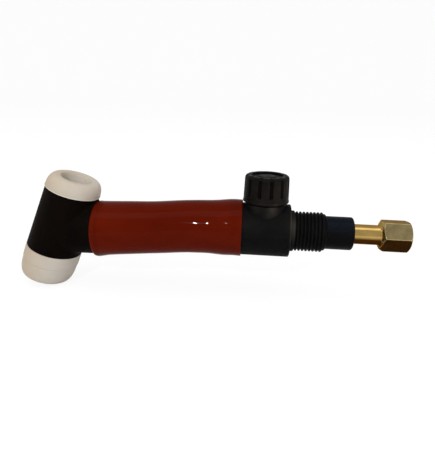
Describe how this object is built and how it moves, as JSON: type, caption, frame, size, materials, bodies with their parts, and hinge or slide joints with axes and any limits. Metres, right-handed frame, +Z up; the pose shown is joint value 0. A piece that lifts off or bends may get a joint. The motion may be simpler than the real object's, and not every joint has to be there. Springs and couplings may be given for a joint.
{
  "type": "tig torch body",
  "caption": "TIG welding torch body: T head with white gaskets, red sleeved neck, valve housing with a fluted gas knob, handle thread and brass cable connector.",
  "frame": {"origin": "centre of the handle thread on the body's axis", "axes": "+X along the body towards the cable connector, +Z up through the valve knob, head at -X"},
  "size_m": [0.1817, 0.026, 0.0571],
  "materials": {
    "brass": "machined",
    "black_moulding": "satin, lightly scuffed",
    "white_ptfe": "waxy",
    "copper": "drawn tube",
    "red_silicone": "satin",
    "black_housing": "satin",
    "knob_plastic": "satin",
    "steel": "plain",
    "seal_rubber": "matte"
  },
  "bodies": {
    "body": {"head_core": "brass", "head_insulator": "black_moulding", "upper_gasket": "white_ptfe", "lower_gasket": "white_ptfe", "neck_tube": "copper", "neck_insulation": "black_moulding", "neck_sleeve": "red_silicone", "valve_housing": "black_housing", "valve_block": "brass", "gland_nut": "brass", "packing_washer": "white_ptfe", "rear_tube": "brass", "rear_bush": "black_housing", "rear_sleeve": "black_moulding", "cable_connector": "brass", "braze_fillets": "brass"},
    "stem_lift": {"stem_seal": "seal_rubber"},
    "knob": {"valve_stem": "brass", "valve_knob": "knob_plastic", "knob_insert": "brass", "knob_washer": "steel", "knob_screw": "steel", "knob_cap": "knob_plastic"}
  },
  "joints": [
    {"name": "stem_rise", "type": "slide", "parent": "body", "child": "stem_lift", "axis": [0, 0, 1], "range_m": [0, 0.0016]},
    {"name": "knob_turn", "type": "hinge", "parent": "stem_lift", "child": "knob", "pos_m": [-0.02, 0, 0], "axis": [0, 0, 1], "range_deg": [0, 720]}
  ],
  "couplings": [
    {"joint": "knob_turn", "follows": "stem_rise", "rad_per_m": 7854}
  ]
}
